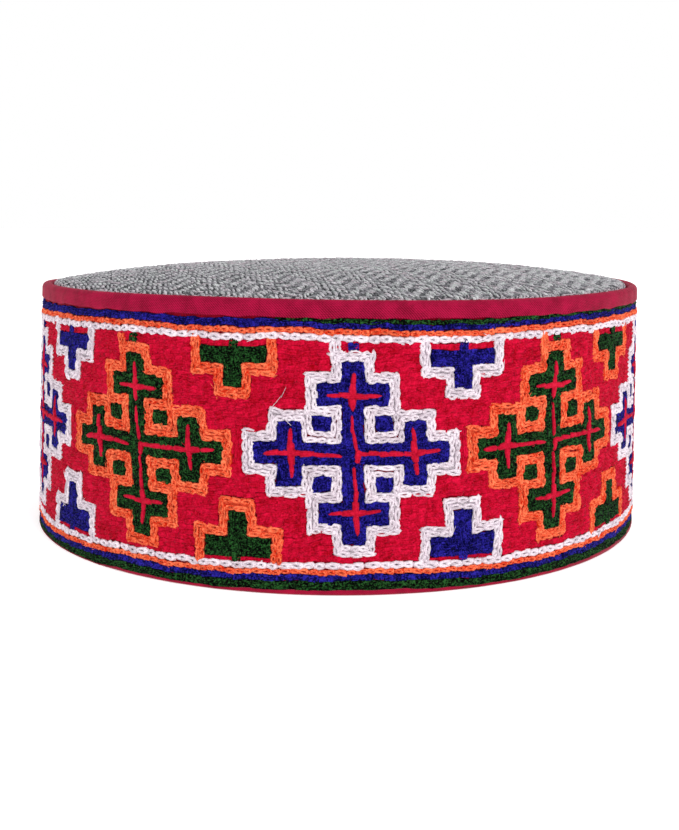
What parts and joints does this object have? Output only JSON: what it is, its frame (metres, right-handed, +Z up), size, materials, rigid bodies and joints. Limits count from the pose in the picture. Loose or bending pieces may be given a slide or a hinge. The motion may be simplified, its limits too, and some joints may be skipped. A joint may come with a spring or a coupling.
{
  "type": "kullu cap",
  "caption": "Round flat-topped cap: a stiff embroidered band round a tweed body, a shallow tweed crown, and bound upper and lower edges.",
  "frame": {"origin": "centre of the circle that the lower edge rests on", "axes": "+Z up through the crown, -Y towards the front, where the white-edged blue cross of the band sits; the band's seam is at +Y"},
  "size_m": [0.1906, 0.1906, 0.0794],
  "materials": {
    "embroidered_wool": "chain-stitched wool on crimson cloth, matt",
    "grey_tweed": "herringbone wool tweed, matt and slightly fuzzy",
    "maroon_satin": "satin-weave cotton, soft sheen",
    "crimson_cloth": "plain-weave cotton, matt"
  },
  "bodies": {
    "root": {"band": "embroidered_wool", "side_wall": "grey_tweed", "crown": "grey_tweed", "top_binding": "maroon_satin", "lower_binding": "crimson_cloth"}
  },
  "joints": []
}
